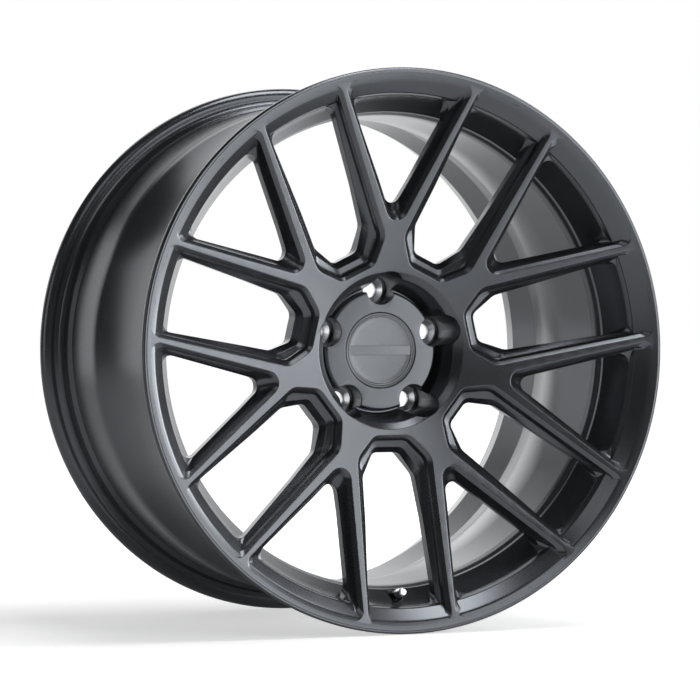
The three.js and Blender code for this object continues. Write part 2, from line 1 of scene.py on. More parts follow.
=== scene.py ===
# %% [markdown]
# # A forged racing wheel rim
# The wheel lies with its axis along Y and its spoked face towards -Y. This lesson keeps the packed
# model's frame and models each piece again at a finer grain, with bmesh operators.
# Round parts are a section spun about the axis. The spokes are what is left of a spun disc when
# fourteen windows are cut from it, as a mill cuts them from a forging.

# %% Start
import json
import math

import bmesh
import bpy
from mathutils import Matrix, Vector

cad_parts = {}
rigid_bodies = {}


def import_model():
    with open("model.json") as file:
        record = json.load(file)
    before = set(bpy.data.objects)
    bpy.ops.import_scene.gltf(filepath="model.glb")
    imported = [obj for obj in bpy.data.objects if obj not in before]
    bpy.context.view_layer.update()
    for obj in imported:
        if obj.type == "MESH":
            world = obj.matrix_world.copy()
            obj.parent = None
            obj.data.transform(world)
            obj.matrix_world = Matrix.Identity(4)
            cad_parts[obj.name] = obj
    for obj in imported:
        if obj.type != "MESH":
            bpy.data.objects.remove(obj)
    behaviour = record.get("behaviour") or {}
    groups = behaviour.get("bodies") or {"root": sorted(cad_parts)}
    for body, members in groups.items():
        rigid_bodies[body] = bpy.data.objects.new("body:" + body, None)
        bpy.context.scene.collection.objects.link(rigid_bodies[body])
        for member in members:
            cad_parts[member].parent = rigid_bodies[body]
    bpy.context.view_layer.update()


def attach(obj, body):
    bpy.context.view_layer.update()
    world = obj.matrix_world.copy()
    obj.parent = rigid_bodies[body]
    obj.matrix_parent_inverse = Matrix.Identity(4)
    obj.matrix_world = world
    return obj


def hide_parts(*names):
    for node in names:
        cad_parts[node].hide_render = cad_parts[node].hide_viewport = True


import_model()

# %% [markdown]
# ## Driving sizes
# A rim is drawn in millimetres, so the sizes here are too, and `MM` turns them into metres.
# Depths are measured from the plane through the front flange's rounded tip.

# %% Sizes
MM = 0.001
CLEARANCE = 0.3
SEAT_RADIUS = 512.8 / 2
FLANGE_HEIGHT = 17.3
FLANGE_CURVE = 9.5
FLANGE_TIP = 4.0
FLANGE_DEPTH = FLANGE_CURVE + 0.95
RIM_WIDTH = 292.1
LIP_RADIUS = SEAT_RADIUS + FLANGE_HEIGHT
TIP_CENTRE = LIP_RADIUS - FLANGE_TIP
TIP_TO_TIP = RIM_WIDTH + 2 * FLANGE_DEPTH
FRONT = -TIP_TO_TIP / 2
WELL_RADIUS = SEAT_RADIUS - 20
BARREL_WALL = 6
JOINT_DEPTH = 62
SPOKES = 7
LUGS = 5
PITCH_RADIUS = 60
MOUNT_DEPTH = 105
MOUNT_RADIUS = 75
HUB_FACE = 70
SHOULDER_RADIUS = 78
RIM_STEPS = 280
SMALL_STEPS = 64


def face_depth(radius):
    """Depth of the spokes' front face, a shallow cone with a slight bow."""
    inward = LIP_RADIUS - radius
    bow = 0.8 * math.sin(math.pi * inward / (LIP_RADIUS - SHOULDER_RADIUS))
    return -FLANGE_TIP - 0.6 + 0.245 * inward + bow


print("lip radius", LIP_RADIUS, "flange to flange", TIP_TO_TIP)

# %% [markdown]
# ## Spinning a section
# A turned piece needs only half of its section. The corners are few, and each one says how far it is
# rounded. A vertex bevel rounds them before the spin, which is cheaper and cleaner than bevelling a
# whole ring of edges afterwards. Each finished piece also gets weighted normals, which shade its large
# faces flat and leave the narrow roundings to catch the light.

# %% Helpers for spun pieces
AXIS = Vector((0, 1, 0))


def spin_section(corners, steps, start=0.0, segments=4):
    """Spins a section of (radius, depth[, rounding]) corners about +Y.

    The section closes on itself, or on the axis where it touches it.
    """
    bm = bmesh.new()
    verts = [bm.verts.new((corner[0] * MM, (start + corner[1]) * MM, 0)) for corner in corners]
    closed = min(corner[0] for corner in corners) > 0
    for a, b in zip(verts, verts[1:] + verts[:1] if closed else verts[1:]):
        bm.edges.new((a, b))
    sizes = sorted({corner[2] for corner in corners if len(corner) > 2})
    marked = [(v, c[2]) for v, c in zip(verts, corners) if len(c) > 2]
    for size in sizes:
        group = [v for v, s in marked if s == size and v.is_valid]
        bmesh.ops.bevel(bm, geom=group, offset=size * MM, segments=segments, affect="VERTICES",
                        profile=0.5, material=-1)
    bmesh.ops.spin(bm, geom=bm.verts[:] + bm.edges[:], cent=(0, 0, 0), axis=AXIS,
                   angle=2 * math.pi, steps=steps, use_merge=True)
    bmesh.ops.remove_doubles(bm, verts=bm.verts, dist=1e-6)
    bmesh.ops.recalc_face_normals(bm, faces=bm.faces)
    return bm


def arc(centre, size, start, end, steps):
    """Points on an arc in a section, angles in degrees from the outward direction."""
    turns = [math.radians(start + (end - start) * i / steps) for i in range(steps + 1)]
    return [(centre[0] + size * math.cos(t), centre[1] + size * math.sin(t)) for t in turns]


def to_object(name, bm, transform=Matrix()):
    """Makes an object at the origin from a bmesh, whose place is in its mesh."""
    bmesh.ops.transform(bm, matrix=transform, verts=bm.verts)
    mesh = bpy.data.meshes.new(name)
    bm.to_mesh(mesh)
    bm.free()
    obj = bpy.data.objects.new(name, mesh)
    bpy.context.scene.collection.objects.link(obj)
    return obj


def finish_piece(obj, body, node, material, sharp=38):
    """Shades a piece, gives it its material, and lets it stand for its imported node."""
    obj.data.materials.clear()
    obj.data.materials.append(material)
    obj.data.shade_smooth()
    obj.data.set_sharp_from_angle(angle=math.radians(sharp))
    flat_faces = obj.modifiers.new("flat_faces", "WEIGHTED_NORMAL")
    flat_faces.keep_sharp = True
    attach(obj, body)
    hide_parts(node)
    print(obj.name, len(obj.data.polygons), "faces")


# %% [markdown]
# ## Finishes
# The forging has a satin black coat with metal flake in it. A plain black dielectric would show only
# a faint film of gloss, so the coat is a dark metal with a little plain colour mixed in. A very fine
# noise gives it its grain, and a wide one lets gloss and colour drift a little. All of them use
# Object coordinates, so the grain stays on the metal when a piece moves.

# %% Node helpers
def add_node(tree, kind, settings=(), values=(), wires=()):
    """Adds a shader node, with its settings, its inputs' values and what is wired to them."""
    node = tree.nodes.new("ShaderNode" + kind)
    for name, value in dict(settings).items():
        setattr(node, name, value)
    for name, value in dict(values).items():
        node.inputs[name].default_value = value
    for name, source in dict(wires).items():
        tree.links.new(source, node.inputs[name])
    return node


def mapped(tree, source, start, end, low=0.0, high=1.0, easing="LINEAR"):
    """Goes from low to high as the source goes from start to end."""
    node = add_node(tree, "MapRange", {"interpolation_type": easing},
                    {"From Min": start, "From Max": end, "To Min": low, "To Max": high},
                    {"Value": source})
    return node.outputs["Result"]


# %% Materials
WIDE_SCALE = 14
NOISE_LOW = 0.3
NOISE_HIGH = 0.7
GRAIN_HEIGHT = 0.0002


def coated(name, colour, roughness, spread=0.05, metallic=0.0, grain=900, bump=0.02, tint=0.25):
    """A finish with fine grain in its surface, and gloss and colour that drift slowly."""
    material = bpy.data.materials.new(name)
    material.use_nodes = True
    tree = material.node_tree
    shader = tree.nodes["Principled BSDF"]
    shader.inputs["Metallic"].default_value = metallic
    place = add_node(tree, "TexCoord").outputs["Object"]
    wide = add_node(tree, "TexNoise", (), {"Scale": WIDE_SCALE, "Detail": 3}, {"Vector": place})
    fine = add_node(tree, "TexNoise", (), {"Scale": grain, "Detail": 2}, {"Vector": place})
    gloss = mapped(tree, wide.outputs["Fac"], NOISE_LOW, NOISE_HIGH,
                   roughness - spread, roughness + spread)
    ramp = add_node(tree, "ValToRGB", wires={"Fac": wide.outputs["Fac"]})
    ends = [(NOISE_LOW, 1 - tint), (NOISE_HIGH, 1 + tint)]
    for stop, (position, factor) in zip(ramp.color_ramp.elements, ends):
        stop.position = position
        stop.color = [c * factor for c in colour] + [1]
    relief = add_node(tree, "Bump", (), {"Strength": bump, "Distance": GRAIN_HEIGHT},
                      {"Height": fine.outputs["Fac"]})
    tree.links.new(gloss, shader.inputs["Roughness"])
    tree.links.new(ramp.outputs["Color"], shader.inputs["Base Color"])
    tree.links.new(relief.outputs["Normal"], shader.inputs["Normal"])
    return material


satin_black = coated("satin_black_coat", (0.135, 0.143, 0.156), 0.25, 0.02, metallic=0.88, tint=0.06)
cap_plastic = coated("cap_satin_plastic", (0.145, 0.152, 0.164), 0.3, 0.03, metallic=0.88, grain=1500,
                     bump=0.05)
cap_metal = coated("cap_disc_anodised", (0.17, 0.178, 0.19), 0.28, 0.03, metallic=0.9, grain=1500,
                   tint=0.1)
seat_steel = coated("lug_seat_steel", (0.72, 0.73, 0.75), 0.2, 0.05, metallic=1.0, grain=600, bump=0.05)
spring_steel = coated("spring_steel", (0.5, 0.51, 0.53), 0.3, 0.05, metallic=1.0, grain=700)
black_anodised = coated("valve_black_anodised", (0.012, 0.012, 0.013), 0.35, 0.05, grain=1800)
bright_metal = coated("valve_cap_plating", (0.86, 0.87, 0.88), 0.16, 0.04, metallic=1.0, grain=900)
brass = coated("valve_core_brass", (0.6, 0.42, 0.19), 0.28, 0.05, metallic=1.0, grain=900)
rubber = coated("valve_rubber", (0.016, 0.016, 0.016), 0.75, 0.08, grain=1600, bump=0.2)

# %% [markdown]
# ## The front rim
# The front of the rim is one closed section: the spoked side, the lip, the flange that holds the
# tyre, the bead seat and its hump. It could be modelled as a bent sheet with thickness, but the wall
# changes thickness all the way, so drawing both sides is simpler.

# %% Front rim section
SEAT_DROP = math.tan(math.radians(5)) * 21
BAND = TIP_CENTRE - 4.2
HOLLOW = BAND - 7.5
CONE = HOLLOW - 8.2
front_section = [
    (WELL_RADIUS - BARREL_WALL, JOINT_DEPTH),
    (WELL_RADIUS - BARREL_WALL + 0.5, 54.8, 2.0),
    (233.5, 48.8, 0.8),
    (233.5, 44.8, 0.8),
    (244.4, 25, 3.0),
    (CONE - 1.4, 16.8, 1.2),
    (CONE, 10.4, 1.0),
    (HOLLOW, 2.5, 2.0),
    (HOLLOW + 3.5, -0.8, 1.5),
    (BAND, -2.5, 0.5),
    *arc((TIP_CENTRE, 0), FLANGE_TIP, 270, 360, 8),
    *arc((LIP_RADIUS - FLANGE_CURVE, FLANGE_DEPTH - FLANGE_CURVE), FLANGE_CURVE, 0, 90, 10),
    (SEAT_RADIUS + 4.5, FLANGE_DEPTH, 1.5),
    (SEAT_RADIUS + 1.5, FLANGE_DEPTH + 2, 1.0),
    (SEAT_RADIUS - 0.4, FLANGE_DEPTH + 6, 1.0),
    (SEAT_RADIUS - SEAT_DROP, FLANGE_DEPTH + 21, 1.0),
    (SEAT_RADIUS - SEAT_DROP + 1.2, FLANGE_DEPTH + 24, 1.4),
    (SEAT_RADIUS - SEAT_DROP - 0.5, FLANGE_DEPTH + 28, 1.4),
    (WELL_RADIUS + 2, JOINT_DEPTH - 6, 1.4),
    (WELL_RADIUS, JOINT_DEPTH - 3, 1.0),
    (WELL_RADIUS, JOINT_DEPTH),
]
front_rim = to_object("forged_centre_rim", spin_section(front_section, RIM_STEPS, FRONT))

# %% [markdown]
# ## The barrel
# Behind the spokes the rim is a long shell: a drop well, a sweep up to a crisp ridge, a plain band,
# and the rear bead seat with its flange.

# %% Barrel section
REAR_FLANGE = TIP_TO_TIP - FLANGE_DEPTH
SEAT_START = REAR_FLANGE - 21
RIDGE_RADIUS = SEAT_RADIUS - 4.4
sweep = [(19.6 - 4.0) * (i / 10) ** 2 for i in range(11)]
sweep_depth = [119 + 94 * i / 10 for i in range(11)]
barrel_section = [
    (WELL_RADIUS, JOINT_DEPTH),
    *[(WELL_RADIUS + up, depth) for up, depth in zip(sweep, sweep_depth)],
    (RIDGE_RADIUS, SEAT_START - 7, 1.0),
    (SEAT_RADIUS - SEAT_DROP + 1.2, SEAT_START - 3, 1.0),
    (SEAT_RADIUS - SEAT_DROP, SEAT_START, 1.0),
    (SEAT_RADIUS - 0.4, REAR_FLANGE - 6, 1.0),
    (SEAT_RADIUS + 1.5, REAR_FLANGE - 2, 1.0),
    (SEAT_RADIUS + 5, REAR_FLANGE, 1.5),
    *arc((LIP_RADIUS - FLANGE_CURVE, REAR_FLANGE + FLANGE_CURVE), FLANGE_CURVE, -90, 0, 10),
    *arc((TIP_CENTRE, TIP_TO_TIP), FLANGE_TIP, 0, 90, 8),
    (TIP_CENTRE - 7, TIP_TO_TIP + 1, 1.5),
    (SEAT_RADIUS + 0.6, TIP_TO_TIP - 3.5, 1.5),
    (SEAT_RADIUS - 4.4, TIP_TO_TIP - 8, 1.0),
    (RIDGE_RADIUS - BARREL_WALL - 1, TIP_TO_TIP - 37, 1.5),
    (RIDGE_RADIUS - BARREL_WALL, 223, 1.0),
    *[(WELL_RADIUS - BARREL_WALL + up, depth) for up, depth in zip(sweep[-2::-1], sweep_depth[-2::-1])],
    (WELL_RADIUS - BARREL_WALL, JOINT_DEPTH),
]
barrel = to_object("inner_barrel_shell", spin_section(barrel_section, RIM_STEPS, FRONT))
finish_piece(barrel, "wheel", "inner_barrel", satin_black)

# %% [markdown]
# ## The disc that the spokes are cut from
# The hub and the spokes start as one spun disc. Its front is the shallow cone that every spoke
# follows, and its middle has the hub's round face in a deep recess.

# %% Disc section
HUB_EDGE = 59.4
RECESS_EDGE = 69.6
BORE = 36.3
CAP_RADIUS = 37.1
CLIP_BORE = 33.0
CAP_SEAT = HUB_FACE + 4.9
back = [
    (LIP_RADIUS - 33, face_depth(LIP_RADIUS - 33) + 30),
    (168, face_depth(168) + 28),
    (120, face_depth(120) + 33, 6.0),
    (MOUNT_RADIUS + 19, MOUNT_DEPTH - 22, 6.0),
    (MOUNT_RADIUS + 4, MOUNT_DEPTH - 4, 3.0),
]


def back_depth(radius):
    """Depth of the spokes' back face, which thickens towards the mounting pad."""
    for outer, inner in zip(back, back[1:]):
        if inner[0] <= radius <= outer[0]:
            share = (outer[0] - radius) / (outer[0] - inner[0])
            return outer[1] + (inner[1] - outer[1]) * share
    return back[0][1] if radius > back[0][0] else back[-1][1]


face_radii = [SHOULDER_RADIUS + (LIP_RADIUS - 1.5 - SHOULDER_RADIUS) * i / 12 for i in range(13)]
disc_section = [
    (BORE, MOUNT_DEPTH - 15, 0.3),
    (CLIP_BORE + 1.4, MOUNT_DEPTH - 15, 0.3),
    (CLIP_BORE + 1.4, CAP_SEAT + 6, 0.3),
    (CLIP_BORE, CAP_SEAT + 5, 0.3),
    (CLIP_BORE, CAP_SEAT, 0.3),
    (CAP_RADIUS + 0.3, CAP_SEAT, 0.2),
    (CAP_RADIUS + 0.3, HUB_FACE, 0.8),
    (HUB_EDGE, HUB_FACE, 3.2),
    (HUB_EDGE, HUB_FACE + 10, 0.8),
    (HUB_EDGE + 2.8, HUB_FACE + 10, 0.8),
    (HUB_EDGE + 3.8, HUB_FACE + 6, 1.5),
    (RECESS_EDGE, 50.4, 2.5),
    (SHOULDER_RADIUS - 0.8, face_depth(SHOULDER_RADIUS - 0.8), 0.6),
    *[(r, face_depth(r)) for r in face_radii],
    (LIP_RADIUS - FLANGE_CURVE - 2, 3),
    (SEAT_RADIUS - 6, 18),
    *back,
    (MOUNT_RADIUS, MOUNT_DEPTH, 1.0),
    (BORE, MOUNT_DEPTH, 1.2),
]
disc = to_object("forged_centre_spokes", spin_section(disc_section, RIM_STEPS, FRONT))

# %% [markdown]
# ## Window outlines
# Seven windows lie between the two arms of a spoke, and seven more between neighbouring spokes. Each
# is an outline of a few corners, where every corner is rounded by an arc. The same outline, wider or
# narrower, is used at several depths, and this makes the chamfer, the wall and the ledge.

# %% Outlines
ARC_STEPS = 8
SIDE_STEPS = 12
OUTER_CORNER = 9


def rounded(corners):
    """Closed outline of (along, across, radius, steps to the next corner) corners."""
    points = [Vector(corner[:2]) for corner in corners]
    bends = []
    for i, (point, corner) in enumerate(zip(points, corners)):
        before = (points[i - 1] - point).normalized()
        after = (points[(i + 1) % len(points)] - point).normalized()
        half = before.angle(after) / 2
        radius = corner[2]
        if radius == 0:
            bends.append([point])
            continue
        start = point + before * radius / math.tan(half)
        centre = point + (before + after).normalized() * radius / math.sin(half)
        sweep_angle = math.pi - 2 * half
        if (start - centre).cross(before) > 0:
            sweep_angle = -sweep_angle
        arm = start - centre
        bends.append([centre + Matrix.Rotation(sweep_angle * k / ARC_STEPS, 2) @ arm
                      for k in range(ARC_STEPS + 1)])
    outline = []
    for i, bend in enumerate(bends):
        outline += bend
        steps = corners[i][3]
        following = bends[(i + 1) % len(bends)][0]
        outline += [bend[-1].lerp(following, k / steps) for k in range(1, steps)]
    return outline


def rim_side(x, y, slope, outer_radius):
    """Corners where a side line meets the rim, and points along the rim between them."""
    b = slope * (y - slope * x)
    a = 1 + slope * slope
    c = (y - slope * x) ** 2 - outer_radius ** 2
    along = (-b + math.sqrt(b * b - a * c)) / a
    across = y + slope * (along - x)
    angle = math.atan2(across, along)
    middle = [(outer_radius * math.cos(angle * k / 4), outer_radius * math.sin(angle * k / 4), 0, 1)
              for k in range(-3, 4)]
    return [(along, -across, OUTER_CORNER, 1), *middle, (along, across, OUTER_CORNER, SIDE_STEPS)]


def vee_outline(shape, inset, outer_radius):
    """Between the two arms of one spoke: two sides that meet in a round tip."""
    tip, slope, radius = shape
    tip += inset * math.hypot(1, slope) / slope
    apex = (tip, 0, max(radius - inset, 2), SIDE_STEPS)
    return rounded([apex, *rim_side(tip, 0, slope, outer_radius)])


def gap_outline(shape, inset, outer_radius):
    """Between two spokes: flat towards the hub, then slanted, then long sides."""
    flat, flat_half, knee, knee_half, slope, flat_radius, knee_radius = shape
    slant = (knee_half - flat_half) / (knee - flat)
    slant_shift = inset * math.hypot(1, slant)
    side_shift = inset * math.hypot(1, slope)
    half = flat_half + slant * inset - slant_shift
    rise = (knee_half - side_shift - slope * knee) - (flat_half - slant_shift - slant * flat)
    turn = rise / (slant - slope)
    turn_half = knee_half - side_shift + slope * (turn - knee)
    flat_radius, knee_radius = max(flat_radius - inset, 2), max(knee_radius - inset, 2)
    return rounded([
        (flat + inset, half, flat_radius, 4),
        (flat + inset, -half, flat_radius, 4),
        (turn, -turn_half, knee_radius, SIDE_STEPS),
        *rim_side(turn, turn_half, slope, outer_radius),
        (turn, turn_half, knee_radius, 4),
    ])


VEE_TOP = (111.3, 0.479, 11.8)
VEE_WAIST = (134.3, 0.5, 8.5)
GAP_TOP = (82.5, 19.1, 104.8, 39.8, 0.029, 14, 18)
GAP_WAIST = (100.2, 13.7, 123.2, 27.6, 0.07, 8, 13)

# %% [markdown]
# ## Window cutters
# A cutter is one ring of edges, extruded from depth to depth and moved onto the next outline each
# time. Above the face it goes on up for a little, so that nothing thin is left there. A mill would
# leave the same walls. Each cutter is copied round the wheel's axis.

# %% Cutters
CHAMFER = 3.7


def thicker(radius):
    return 0.09 * max(168 - radius, 0)


def wall_levels(outline, top, waist, wall_foot):
    """Outlines and depths of a window, from above the face to below the back."""
    chamfered = outline(top, CHAMFER, LIP_RADIUS - 13)
    widest = outline(waist, 0, 248)
    levels = [
        (outline(top, -1.5, LIP_RADIUS - 5), lambda r: face_depth(r) - 12),
        (outline(top, -1.5, LIP_RADIUS - 6.7), lambda r: face_depth(r) - 1.5),
        (outline(top, 0, LIP_RADIUS - 8.2), face_depth),
        (chamfered, lambda r: face_depth(r) + CHAMFER),
    ]
    for share, depth in wall_foot:
        between = [a.lerp(b, share) for a, b in zip(chamfered, widest)]
        levels.append((between, lambda r, depth=depth: face_depth(r) + depth))
    return levels + [
        (widest, lambda r: face_depth(r) + 15 + thicker(r)),
        (outline(waist, -2, 241), lambda r: back_depth(r) + 8),
    ]


def window_cutter(levels):
    """One closed cutter in the wheel's frame, for a window in the direction +X."""
    bm = bmesh.new()

    def places(outline, depth):
        return [Vector((p.x * MM, (FRONT + depth(p.length)) * MM, -p.y * MM)) for p in outline]

    first = [bm.verts.new(place) for place in places(*levels[0])]
    ring = [bm.edges.new(pair) for pair in zip(first, first[1:] + first[:1])]
    bm.faces.new(first)
    current = first
    for outline, depth in levels[1:]:
        made = bmesh.ops.extrude_edge_only(bm, edges=ring)["geom"]
        ring = [item for item in made if isinstance(item, bmesh.types.BMEdge)]
        fresh = {tuple(v.co): v for v in made if isinstance(v, bmesh.types.BMVert)}
        current = [fresh[tuple(v.co)] for v in current]
        for vert, place in zip(current, places(outline, depth)):
            vert.co = place
    bm.faces.new(current)
    bmesh.ops.recalc_face_normals(bm, faces=bm.faces)
    return bm


cutters = bpy.data.collections.new("cutters")
bpy.context.scene.collection.children.link(cutters)


def keep_as_cutter(obj):
    bpy.context.scene.collection.objects.unlink(obj)
    cutters.objects.link(obj)


VEE_WALL = [(0.16, 6.6), (0.42, 10.4), (0.75, 13.6)]
GAP_WALL = [(0.06, 7.4), (0.1, 8.8), (0.18, 10.0), (0.3, 10.9), (0.6, 12.8)]
for kind, (outline, top, waist, wall_foot, offset) in {
    "vee": (vee_outline, VEE_TOP, VEE_WAIST, VEE_WALL, 0.0),
    "gap": (gap_outline, GAP_TOP, GAP_WAIST, GAP_WALL, 0.5),
}.items():
    levels = wall_levels(outline, top, waist, wall_foot)
    for i in range(SPOKES):
        angle = math.radians(90) + (i + offset) * 2 * math.pi / SPOKES
        turn = Matrix.Rotation(-angle, 4, "Y")
        keep_as_cutter(to_object(f"{kind}_{i + 1}", window_cutter(levels), turn))

# %% [markdown]
# ## Cutting and joining
# The operators can't cut one solid with another, so this step uses Boolean modifiers: windows out of
# the disc, the rim added, and then the round pockets for the wheel bolts and the valve.

# %% Booleans
def cut_or_join(target, operation, other):
    """Applies one exact Boolean to target, with an object or a collection."""
    modifier = target.modifiers.new("step", "BOOLEAN")
    modifier.operation = operation
    modifier.solver = "EXACT"
    if isinstance(other, bpy.types.Collection):
        modifier.operand_type = "COLLECTION"
        modifier.collection = other
    else:
        modifier.object = other
    graph = bpy.context.evaluated_depsgraph_get()
    result = bpy.data.meshes.new_from_object(target.evaluated_get(graph))
    target.modifiers.clear()
    target.data = result
    print(target.name, operation, len(result.polygons), "faces")


def discard(objects):
    for obj in list(objects):
        bpy.data.objects.remove(obj)


cut_or_join(disc, "DIFFERENCE", cutters)
discard(cutters.objects)
cut_or_join(disc, "UNION", front_rim)
discard([front_rim])

# %% Lug pockets and valve hole
LUG_POCKET = 14.8
LUG_MOUTH = 18.6
LUG_MOUTH_DEPTH = 30
LUG_FLARE_END = 72
LUG_SEAT_DEPTH = 94
LUG_SEAT_END = LUG_SEAT_DEPTH + 7
LUG_SEAT_RADIUS = 12.9
LUG_SEAT_BODY = 11.1
lug_places = []
for i in range(LUGS):
    angle = math.radians(90) + i * 2 * math.pi / LUGS
    direction = Vector((math.cos(angle), 0, math.sin(angle)))
    lug_places.append(Matrix.Translation(PITCH_RADIUS * MM * direction))
pocket = [
    (0, LUG_MOUTH_DEPTH),
    (LUG_MOUTH, LUG_MOUTH_DEPTH),
    (LUG_POCKET, LUG_FLARE_END),
    (LUG_POCKET, LUG_SEAT_DEPTH),
    (LUG_SEAT_RADIUS + CLEARANCE, LUG_SEAT_DEPTH),
    (LUG_SEAT_RADIUS + CLEARANCE, LUG_SEAT_END),
    (LUG_SEAT_BODY + CLEARANCE, LUG_SEAT_END),
    (LUG_SEAT_BODY + CLEARANCE, MOUNT_DEPTH + 5),
    (0, MOUNT_DEPTH + 5),
]
for i, place in enumerate(lug_places):
    keep_as_cutter(to_object(f"lug_pocket_{i + 1}", spin_section(pocket, SMALL_STEPS, FRONT), place))

VALVE_TILT = math.radians(12.9)
VALVE_HOLE = 4.4
VALVE_WALL = 4.5
FOOT_POCKET = 9
NUT_POCKET = 7
valve_place = (Matrix.Translation((0, (FRONT + 45.5) * MM, -240.9 * MM))
               @ Matrix.Rotation(math.pi - VALVE_TILT, 4, "X"))
valve_hole = [
    (0, -30),
    (FOOT_POCKET, -30),
    (FOOT_POCKET, -VALVE_WALL),
    (VALVE_HOLE, -VALVE_WALL),
    (VALVE_HOLE, 0),
    (NUT_POCKET, 0),
    (NUT_POCKET, 60),
    (0, 60),
]
keep_as_cutter(to_object("valve_hole", spin_section(valve_hole, SMALL_STEPS), valve_place))
cut_or_join(disc, "DIFFERENCE", cutters)
discard(cutters.objects)

# %% [markdown]
# ## Crisp but not sharp
# A mill leaves crisp edges, and the coat rounds them by a fraction of a millimetre. This thin
# rounding is what catches the light along every spoke. Slivers left by the cut are merged first,
# because a bevel can't be narrower than the shortest edge beside it.

# %% Edge rounding
def round_edges(obj, width, degrees=24, merge=0.25):
    """Merges slivers and rounds the crisp edges of a cut solid."""
    bm = bmesh.new()
    bm.from_mesh(obj.data)
    bmesh.ops.remove_doubles(bm, verts=bm.verts, dist=merge * MM)
    bmesh.ops.dissolve_degenerate(bm, edges=bm.edges, dist=0.02 * MM)
    bmesh.ops.triangulate(bm, faces=[f for f in bm.faces if len(f.verts) > 4])
    inner = [e for e in bm.edges if len(e.link_faces) == 2]
    crisp = [e for e in inner if e.calc_face_angle(0) > math.radians(degrees)]
    print(obj.name, len(crisp), "crisp edges")
    bmesh.ops.bevel(bm, geom=crisp, offset=width * MM, segments=2, affect="EDGES", profile=0.5,
                    material=-1, clamp_overlap=False)
    bm.to_mesh(obj.data)
    bm.free()


round_edges(disc, 0.5)
finish_piece(disc, "wheel", "forged_centre", satin_black, sharp=30)

# %% [markdown]
# ## Lug seats
# Each pocket holds a bright steel seat with a cone for the wheel bolt.

# %% Lug seats
LUG_HOLE = 7.8
CONE_MOUTH = 12.1
seat_section = [
    (LUG_HOLE, LUG_SEAT_END, 0.3),
    (CONE_MOUTH, LUG_SEAT_DEPTH, 0.2),
    (LUG_SEAT_RADIUS, LUG_SEAT_DEPTH, 0.2),
    (LUG_SEAT_RADIUS, LUG_SEAT_END, 0.2),
    (LUG_SEAT_BODY, LUG_SEAT_END, 0.2),
    (LUG_SEAT_BODY, MOUNT_DEPTH - CLEARANCE, 0.3),
    (LUG_HOLE, MOUNT_DEPTH - CLEARANCE, 0.3),
]
for i, place in enumerate(lug_places):
    seat = to_object(f"lug_seat_steel_{i + 1}", spin_section(seat_section, SMALL_STEPS, FRONT), place)
    finish_piece(seat, "wheel", f"lug_seat_{i + 1}", seat_steel)

# %% [markdown]
# ## Centre cap
# The cap is a moulded cup with a thin metal disc in its face. The disc has a raised edge and a bare
# flat band across two shallow dished fields.

# %% Cap body
CAP_FACE = HUB_FACE + 0.3
CAP_FLOOR = 3.7
DISC_RADIUS = 34.6
CLIP_RADIUS = 32.7
CLIP_LIP = 0.8
CLIP_WALL = 1.7
CLIP_LENGTH = 15
cap_floor = CAP_FACE + 1.9
clip_outer = CLIP_RADIUS - CLIP_LIP
clip_inner = clip_outer - CLIP_WALL
cap_section = [
    (0, cap_floor),
    (DISC_RADIUS + CLEARANCE, cap_floor, 0.2),
    (DISC_RADIUS + CLEARANCE, CAP_FACE + 0.2, 0.3),
    (CAP_RADIUS, CAP_FACE, 0.8),
    (CAP_RADIUS, CAP_SEAT, 0.3),
    (clip_outer, CAP_SEAT, 0.3),
    (clip_outer, CAP_SEAT + CLIP_LENGTH - 4, 0.3),
    (CLIP_RADIUS, CAP_SEAT + CLIP_LENGTH - 2.6, 0.4),
    (CLIP_RADIUS, CAP_SEAT + CLIP_LENGTH - 1.4, 0.4),
    (clip_outer, CAP_SEAT + CLIP_LENGTH, 0.3),
    (clip_inner, CAP_SEAT + CLIP_LENGTH, 0.3),
    (clip_inner, cap_floor + CAP_FLOOR, 0.6),
    (0, cap_floor + CAP_FLOOR),
]
cap_body = to_object("centre_cap_cup", spin_section(cap_section, 128, FRONT))
for i in range(3):
    bm = bmesh.new()
    bmesh.ops.create_cube(bm, size=1)
    bmesh.ops.scale(bm, vec=(80 * MM, CLIP_LENGTH * MM, 5 * MM), verts=bm.verts)
    slot_depth = cap_floor + CAP_FLOOR + 2 + CLIP_LENGTH / 2
    bmesh.ops.translate(bm, vec=(0, (FRONT + slot_depth) * MM, 0), verts=bm.verts)
    keep_as_cutter(to_object(f"slot_{i + 1}", bm, Matrix.Rotation(i * math.pi / 3, 4, "Y")))
cut_or_join(cap_body, "DIFFERENCE", cutters)
discard(cutters.objects)
finish_piece(cap_body, "centre_cap", "centre_cap_body", cap_plastic)

# %% Cap disc and wire
disc_face = cap_floor - 1.7
field_depth = disc_face + 0.6
FIELD_RADIUS = 31.8
BAND_HALF = 4.4
plate_section = [
    (0, cap_floor),
    (DISC_RADIUS, cap_floor, 0.2),
    (DISC_RADIUS, disc_face, 0.3),
    (DISC_RADIUS - 1.2, disc_face, 0.3),
    (DISC_RADIUS - 2, field_depth, 0.2),
    *[(FIELD_RADIUS * (1 - i / 16), field_depth) for i in range(17)],
]
bm = spin_section(plate_section, 128, FRONT)
for edge in (BAND_HALF, BAND_HALF + 0.25, -BAND_HALF, -BAND_HALF - 0.25):
    bmesh.ops.bisect_plane(bm, geom=bm.verts[:] + bm.edges[:] + bm.faces[:],
                           plane_co=(0, 0, edge * MM), plane_no=(0, 0, 1))
field_level = (FRONT + field_depth) * MM
for vert in bm.verts:
    radius = math.hypot(vert.co.x, vert.co.z) / MM
    if abs(vert.co.y - field_level) < 1e-5 and radius < FIELD_RADIUS - 0.1:
        beyond = abs(vert.co.z) / MM - BAND_HALF
        if beyond > 0.1:
            vert.co.y += (0.15 + 0.5 * (1 - (radius / FIELD_RADIUS) ** 2)) * MM
cap_disc = to_object("centre_cap_plate", bm)
finish_piece(cap_disc, "centre_cap", "centre_cap_disc", cap_metal, sharp=20)
